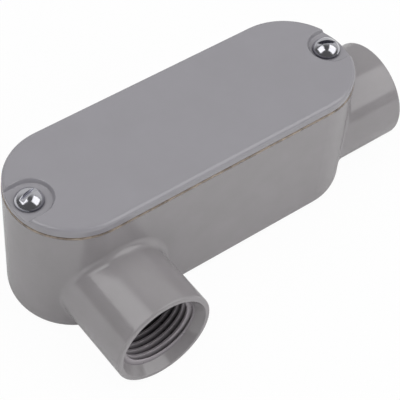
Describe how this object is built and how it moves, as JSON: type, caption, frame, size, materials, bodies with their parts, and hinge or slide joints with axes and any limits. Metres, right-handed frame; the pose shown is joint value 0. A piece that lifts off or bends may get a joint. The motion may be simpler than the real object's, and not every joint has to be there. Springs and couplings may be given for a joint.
{
  "type": "conduit body",
  "caption": "Threaded side-outlet conduit body: a long round-ended cast box with a gasketed screw-on cover, one hub out of its end and one out of its side.",
  "frame": {"origin": "centre of the box's flat back", "axes": "+X along the box towards the end hub, -Y towards the side hub, +Z from the flat back to the cover"},
  "size_m": [0.115, 0.0537, 0.0422],
  "materials": {
    "cast_enamel": "semi-gloss grey enamel baked on a die-cast aluminium body",
    "cover_enamel": "semi-gloss grey enamel baked on a die-cast aluminium cover",
    "gasket_sheet": "tan cork and rubber sheet, cut edge",
    "zinc_plate": "bright zinc plate on steel"
  },
  "bodies": {
    "root": {"body": "cast_enamel", "gasket": "gasket_sheet", "cover": "cover_enamel", "cover_screw_left": "zinc_plate", "cover_screw_right": "zinc_plate"}
  },
  "joints": []
}
